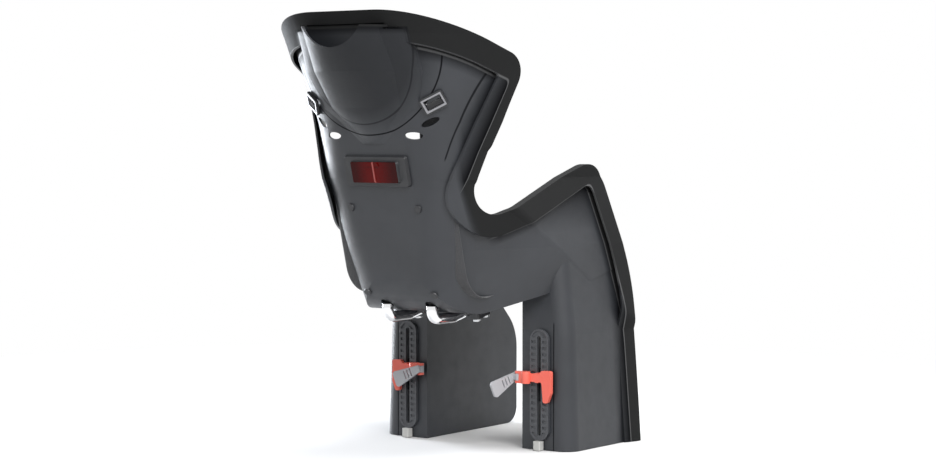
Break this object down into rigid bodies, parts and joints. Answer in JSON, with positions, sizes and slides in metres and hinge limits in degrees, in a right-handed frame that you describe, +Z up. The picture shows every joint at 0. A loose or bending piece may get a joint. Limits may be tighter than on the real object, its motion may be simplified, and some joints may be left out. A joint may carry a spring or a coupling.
{
  "type": "child bike seat",
  "caption": "Rear-mounted child seat for a bicycle with a moulded shell, leg shields, sliding footrests on notched rails, harness and rear reflector.",
  "frame": {"origin": "on the ground under the middle of the seat's width and depth", "axes": "+X to the child's right, +Y forwards, +Z up"},
  "size_m": [0.3786, 0.5754, 0.6328],
  "materials": {
    "shell_plastic": "fine-grained moulded plastic",
    "dark_plastic": "satin moulded plastic",
    "lever_plastic": "satin moulded plastic",
    "latch_plastic": "smooth moulded plastic",
    "lens_plastic": "clear coloured plastic",
    "foot_plastic": "plain moulded plastic",
    "chrome_tube": "polished",
    "steel": "zinc plated",
    "cushion_cover": "woven cover over foam",
    "webbing": "woven strap"
  },
  "bodies": {
    "seat": {"seat_shell": "shell_plastic", "reflector_bezel": "dark_plastic", "reflector_lens": "lens_plastic", "rail_left": "dark_plastic", "rail_right": "dark_plastic", "foot_left": "foot_plastic", "foot_right": "foot_plastic", "support_bar": "chrome_tube", "bar_clamp": "dark_plastic", "clamp_screws": "steel", "harness_frame_left": "dark_plastic", "harness_frame_right": "dark_plastic", "strap_left": "webbing", "strap_right": "webbing", "shoulder_pad_left": "cushion_cover", "shoulder_pad_right": "cushion_cover", "crotch_strap": "webbing", "buckle_body": "dark_plastic", "buckle_tongue_left": "dark_plastic", "buckle_tongue_right": "dark_plastic", "seat_cushion": "cushion_cover", "cushion_clips": "dark_plastic"},
    "footrest_left": {"footrest_left": "dark_plastic", "foot_strap_left": "dark_plastic", "latch_left": "latch_plastic", "lever_pin_left": "steel"},
    "lever_left": {"lever_left": "lever_plastic"},
    "footrest_right": {"footrest_right": "dark_plastic", "foot_strap_right": "dark_plastic", "latch_right": "latch_plastic", "lever_pin_right": "steel"},
    "lever_right": {"lever_right": "lever_plastic"},
    "button": {"buckle_button": "latch_plastic"}
  },
  "joints": [
    {"name": "footrest_left_slide", "type": "slide", "parent": "seat", "child": "footrest_left", "axis": [0, 0, 1], "range_m": [-0.045, 0.045]},
    {"name": "footrest_right_slide", "type": "slide", "parent": "seat", "child": "footrest_right", "axis": [0, 0, 1], "range_m": [-0.045, 0.045]},
    {"name": "lever_left_hinge", "type": "hinge", "parent": "footrest_left", "child": "lever_left", "pos_m": [-0.09, 0.0367, 0.107], "axis": [0, 0, 1], "range_deg": [0, 105]},
    {"name": "lever_right_hinge", "type": "hinge", "parent": "footrest_right", "child": "lever_right", "pos_m": [0.09, 0.0367, 0.107], "axis": [0, 0, 1], "range_deg": [0, 105]},
    {"name": "buckle_button_press", "type": "slide", "parent": "seat", "child": "button", "axis": [0, -0.9659, -0.2588], "range_m": [0, 0.004], "stiffness_N_per_m": 400}
  ]
}
